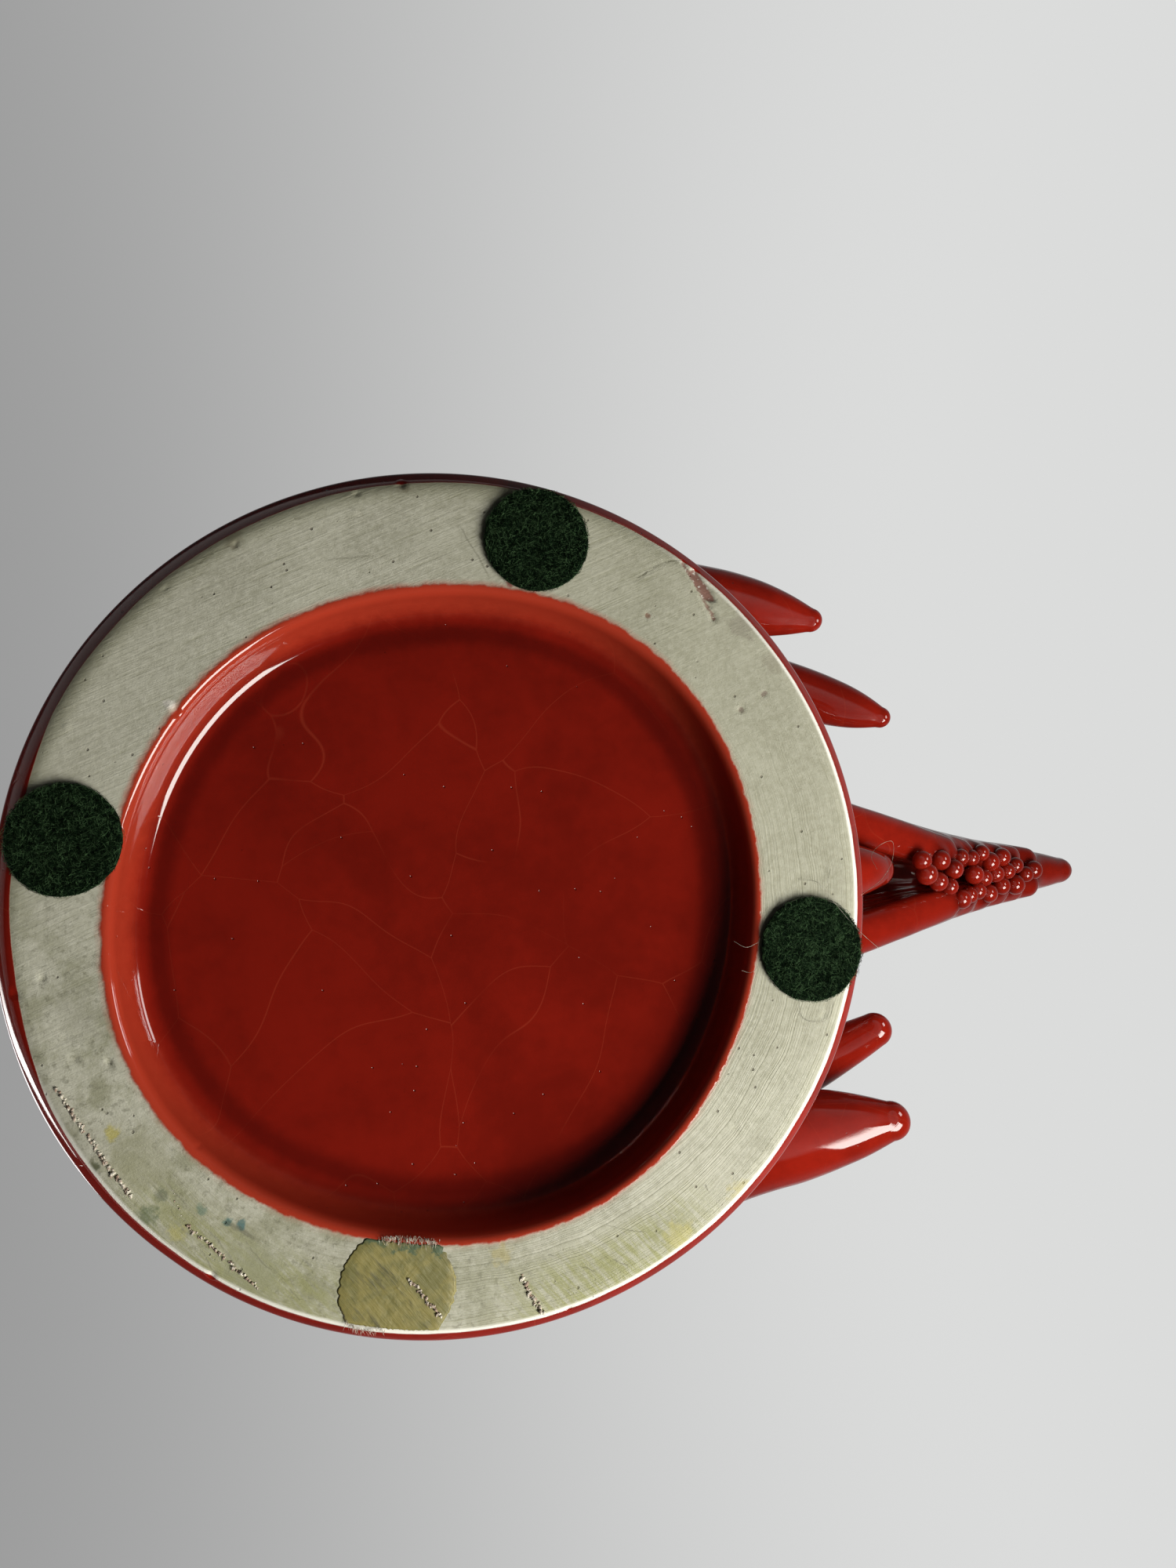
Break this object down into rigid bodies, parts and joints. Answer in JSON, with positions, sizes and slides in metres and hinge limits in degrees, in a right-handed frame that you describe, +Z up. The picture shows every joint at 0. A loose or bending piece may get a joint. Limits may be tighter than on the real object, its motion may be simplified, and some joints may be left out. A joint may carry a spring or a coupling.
{
  "type": "hen figurine",
  "caption": "Hand-built ceramic hen on a turned foot: hollow body, neck and head, rolled feathers for wings, tail and hackle, red glaze, felt pads under the foot ring.",
  "frame": {"origin": "on the table under the pads, at the middle of the hen's length and width", "axes": "+X towards the beak, +Y to the hen's left, +Z up"},
  "size_m": [0.3362, 0.211, 0.2712],
  "materials": {
    "red_glaze": "glossy red glaze over fired clay, finely crazed",
    "bare_clay": "bare fired clay, wiped free of glaze",
    "green_felt": "dark green wool felt",
    "old_glue": "dried yellowish glue with felt fibres in it"
  },
  "bodies": {
    "root": {"foot_ring": "bare_clay", "base_dish": "red_glaze", "felt_pad_front": "green_felt", "felt_pad_left": "green_felt", "felt_pad_rear": "green_felt", "glue_mark": "old_glue", "body_shell": "red_glaze", "neck": "red_glaze", "head": "red_glaze", "upper_beak": "red_glaze", "lower_beak": "red_glaze", "comb": "red_glaze", "eye_left": "red_glaze", "eye_right": "red_glaze", "wattle_left": "red_glaze", "wattle_right": "red_glaze", "hackle_feather_1": "red_glaze", "hackle_feather_2": "red_glaze", "hackle_feather_3": "red_glaze", "hackle_feather_4": "red_glaze", "hackle_feather_5": "red_glaze", "hackle_feather_6": "red_glaze", "hackle_feather_7": "red_glaze", "wing_left": "red_glaze", "wing_feather_left_1": "red_glaze", "wing_feather_left_2": "red_glaze", "wing_feather_left_3": "red_glaze", "wing_feather_left_4": "red_glaze", "wing_right": "red_glaze", "wing_feather_right_1": "red_glaze", "wing_feather_right_2": "red_glaze", "wing_feather_right_3": "red_glaze", "wing_feather_right_4": "red_glaze", "tail_feather_top": "red_glaze", "tail_plume_1": "red_glaze", "tail_plume_2": "red_glaze", "tail_plume_3": "red_glaze", "tail_feather_left_1": "red_glaze", "tail_feather_left_2": "red_glaze", "tail_feather_left_3": "red_glaze", "tail_feather_left_4": "red_glaze", "tail_feather_left_5": "red_glaze", "tail_feather_left_6": "red_glaze", "tail_feather_right_1": "red_glaze", "tail_feather_right_2": "red_glaze", "tail_feather_right_3": "red_glaze", "tail_feather_right_4": "red_glaze", "tail_feather_right_5": "red_glaze", "tail_feather_right_6": "red_glaze", "rump_feather": "red_glaze"}
  },
  "joints": []
}
